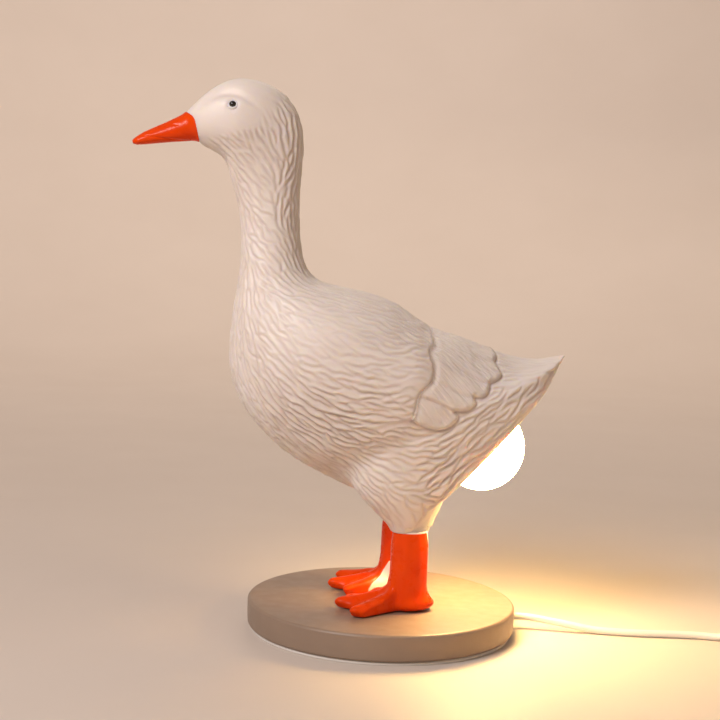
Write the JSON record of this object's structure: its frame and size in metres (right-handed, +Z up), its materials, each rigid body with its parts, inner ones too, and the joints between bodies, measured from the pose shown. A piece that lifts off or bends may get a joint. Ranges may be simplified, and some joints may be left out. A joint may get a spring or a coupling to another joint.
{
  "type": "novelty goose table lamp",
  "caption": "Table lamp in the shape of a standing white goose on a round base, with a globe lamp screwed in under its tail and a corded USB lead with an inline switch.",
  "frame": {"origin": "centre of the base's underside, on the flat face of the foam pad that the lamp stands on", "axes": "+Z up; -X is the way the goose looks, so its tail, lamp and lead are towards +X; -Y is the goose's left"},
  "size_m": [0.4155, 0.159, 0.2823],
  "materials": {
    "white_resin": "satin warm-white paint on cast resin, feather relief",
    "orange_resin": "glossy orange-red paint on cast resin",
    "eye_black": "polished black bead",
    "base_resin": "satin beige-grey paint on cast resin",
    "pad_foam": "pale closed-cell foam",
    "cover_steel": "grey powder coat on sheet steel",
    "steel": "zinc-plated steel",
    "brass": "machined brass",
    "black_plastic": "moulded nylon",
    "cord_pvc": "smooth white PVC sheath",
    "switch_plastic": "moulded white ABS",
    "holder_plastic": "moulded white thermoplastic",
    "nickel": "nickel-plated brass",
    "bulb_opal": "opal polycarbonate, lit warm white",
    "bulb_plastic": "moulded white polycarbonate",
    "bulb_glass_black": "black insulator",
    "board_white": "white solder mask on aluminium",
    "board_green": "green solder mask",
    "wire_brown": "PVC insulation",
    "wire_blue": "PVC insulation"
  },
  "bodies": {
    "lamp": {"goose_body": "white_resin", "bill": "orange_resin", "leg_left": "orange_resin", "leg_right": "orange_resin", "eye_left": "eye_black", "eye_right": "eye_black", "leg_tube_left": "steel", "leg_tube_right": "steel", "leg_washer_left": "steel", "leg_washer_right": "steel", "leg_nut_left": "steel", "leg_nut_right": "steel", "cover_screw_1": "steel", "cover_screw_2": "steel", "cover_screw_3": "steel", "clamp_screw_1": "steel", "clamp_screw_2": "steel", "holder_screw_1": "steel", "holder_screw_2": "steel", "terminal_screw_1": "steel", "terminal_screw_2": "steel", "switch_pin": "steel", "leg_insert_left": "brass", "leg_insert_right": "brass", "holder_thread": "brass", "holder_contact": "brass", "base_disc": "base_resin", "bottom_cover": "cover_steel", "base_pad": "pad_foam", "cord_clamp": "black_plastic", "terminal_block": "black_plastic", "coil_tie": "black_plastic", "cord_grommet": "cord_pvc", "cord_lead": "cord_pvc", "cord_link": "cord_pvc", "cord_coil": "cord_pvc", "cord_end": "cord_pvc", "plug_body": "cord_pvc", "switch_bottom": "switch_plastic", "switch_top": "switch_plastic", "holder_body": "holder_plastic", "holder_cap": "holder_plastic", "plug_tongue": "holder_plastic", "plug_shell": "nickel", "wire_positive": "wire_brown", "wire_negative": "wire_blue"},
    "bulb_tip": {"bulb_contact": "brass"},
    "bulb": {"bulb_globe": "bulb_opal", "bulb_housing": "bulb_plastic", "bulb_led_board": "board_white", "bulb_driver": "board_green", "bulb_cap": "nickel", "bulb_cap_insulator": "bulb_glass_black"},
    "rocker": {"switch_rocker": "switch_plastic"}
  },
  "joints": [
    {"name": "bulb_travel", "type": "slide", "parent": "lamp", "child": "bulb_tip", "axis": [0.7431, 0, -0.6691], "range_m": [0, 0.0156]},
    {"name": "bulb_screw", "type": "hinge", "parent": "bulb_tip", "child": "bulb", "pos_m": [0.0493, 0, 0.0975], "axis": [0.7431, 0, -0.6691], "range_deg": [0, 1980]},
    {"name": "switch_rocker", "type": "hinge", "parent": "lamp", "child": "rocker", "pos_m": [0.216, -0.033, 0.0082], "axis": [0.2756, 0.9613, 0], "range_deg": [0, 14]}
  ],
  "couplings": [
    {"joint": "bulb_travel", "follows": "bulb_screw", "m_per_rad": 0.00044882}
  ]
}
